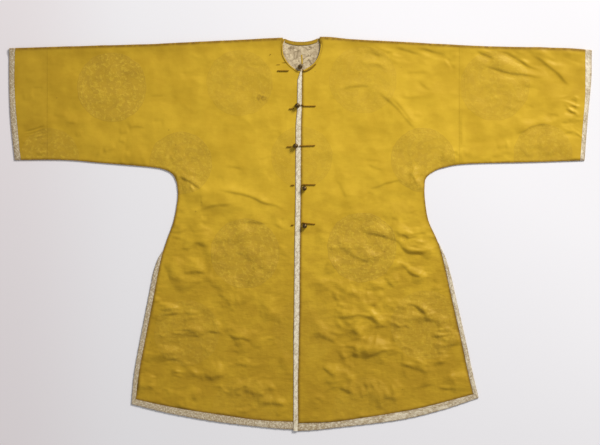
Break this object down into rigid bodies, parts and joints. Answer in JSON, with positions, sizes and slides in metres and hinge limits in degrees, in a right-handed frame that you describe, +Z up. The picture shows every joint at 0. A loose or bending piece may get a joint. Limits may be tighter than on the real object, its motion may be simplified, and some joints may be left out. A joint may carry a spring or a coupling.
{
  "type": "changshan robe laid flat",
  "caption": "Front-opening silk damask robe with straight sleeves, side vents, pale brocade borders and ball-and-loop fastenings, laid flat with its front up.",
  "frame": {"origin": "on the surface that the robe lies on, below the middle of its outline", "axes": "+X along the sleeves towards the wearer's left cuff, +Y towards the neck, +Z up from the surface, out of the robe's front"},
  "size_m": [1.6503, 1.1148, 0.019],
  "materials": {
    "yellow_silk": "soft satin silk damask, old-gold yellow with tone-on-tone roundels",
    "pale_brocade": "ivory and pale gold brocade with a fine mottled figure",
    "lining_silk": "ivory damask lining with grey-beige veins",
    "brown_cord": "dark brown silk cord",
    "bronze": "dark toned bronze with a worn polish"
  },
  "bodies": {
    "root": {"body_right": "yellow_silk", "body_left": "yellow_silk", "sleeve_end_right": "yellow_silk", "sleeve_end_left": "yellow_silk", "neck_binding_right": "yellow_silk", "neck_binding_left": "yellow_silk", "neck_band_back": "yellow_silk", "lining_tab": "yellow_silk", "cuff_border_right": "pale_brocade", "cuff_border_left": "pale_brocade", "front_edge_border": "pale_brocade", "hem_border_front_right": "pale_brocade", "hem_border_front_left": "pale_brocade", "hem_border_back": "pale_brocade", "vent_border_front_right": "pale_brocade", "vent_border_front_left": "pale_brocade", "vent_border_back_right": "pale_brocade", "vent_border_back_left": "pale_brocade", "back_neck_lining": "lining_silk", "button_tail_1": "brown_cord", "button_tail_2": "brown_cord", "button_tail_3": "brown_cord", "button_tail_4": "brown_cord", "button_tail_5": "brown_cord", "loop_tail_1": "brown_cord", "loop_tail_2": "brown_cord", "loop_tail_3": "brown_cord", "loop_tail_4": "brown_cord", "loop_tail_5": "brown_cord", "button_1": "bronze", "button_2": "bronze", "button_3": "bronze", "button_4": "bronze", "button_5": "bronze"}
  },
  "joints": []
}
